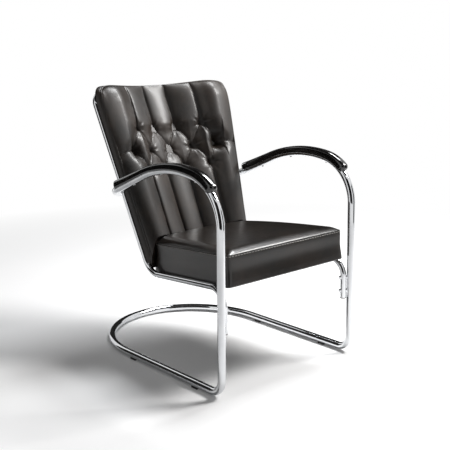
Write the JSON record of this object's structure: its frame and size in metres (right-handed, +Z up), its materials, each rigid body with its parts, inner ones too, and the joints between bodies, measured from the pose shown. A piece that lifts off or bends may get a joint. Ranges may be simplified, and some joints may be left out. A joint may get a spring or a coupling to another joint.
{
  "type": "cantilever lounge chair",
  "caption": "Cantilever lounge chair: bent chrome tube frame with lacquered arm pads, upholstered box seat cushion and a buttoned, channelled black leather back.",
  "frame": {"origin": "On the floor at mid-width and mid-depth of the whole chair, under the seat.", "axes": "+Z up, -Y is the front that the sitter faces, +X is the sitter's left; X = 0 is the plane of symmetry."},
  "size_m": [0.6104, 0.8118, 0.9139],
  "materials": {
    "chrome": "polished chrome plate",
    "steel": "bright zinc plated steel",
    "black_plastic": "moulded, fine grain",
    "lacquered_wood": "glossy black lacquer on bent wood",
    "black_leather": "semi-gloss pigmented leather with a fine grain",
    "wood": "plain sanded beech and plywood",
    "webbing": "woven elastic webbing",
    "dust_cloth": "thin non-woven cloth"
  },
  "bodies": {
    "root": {"main_frame": "chrome", "joint_sleeve": "steel", "seat_frame": "chrome", "seat_frame_plugs": "black_plastic", "leg_bolts": "chrome", "leg_thread_inserts": "steel", "leg_saddles": "chrome", "arm_pad_left": "lacquered_wood", "arm_pad_right": "lacquered_wood", "arm_pad_screws": "steel", "floor_glides": "black_plastic", "seat_cushion": "black_leather", "seat_wood_frame": "wood", "seat_webbing": "webbing", "seat_dust_cover": "dust_cloth", "seat_tabs": "chrome", "seat_screws": "steel", "back_shell": "wood", "back_rear_cover": "black_leather", "back_cushion": "black_leather", "back_buttons": "black_leather", "back_bolts": "steel", "back_spacers": "black_plastic", "back_dome_nuts": "chrome", "back_tabs": "chrome", "back_tab_screws": "steel"}
  },
  "joints": []
}
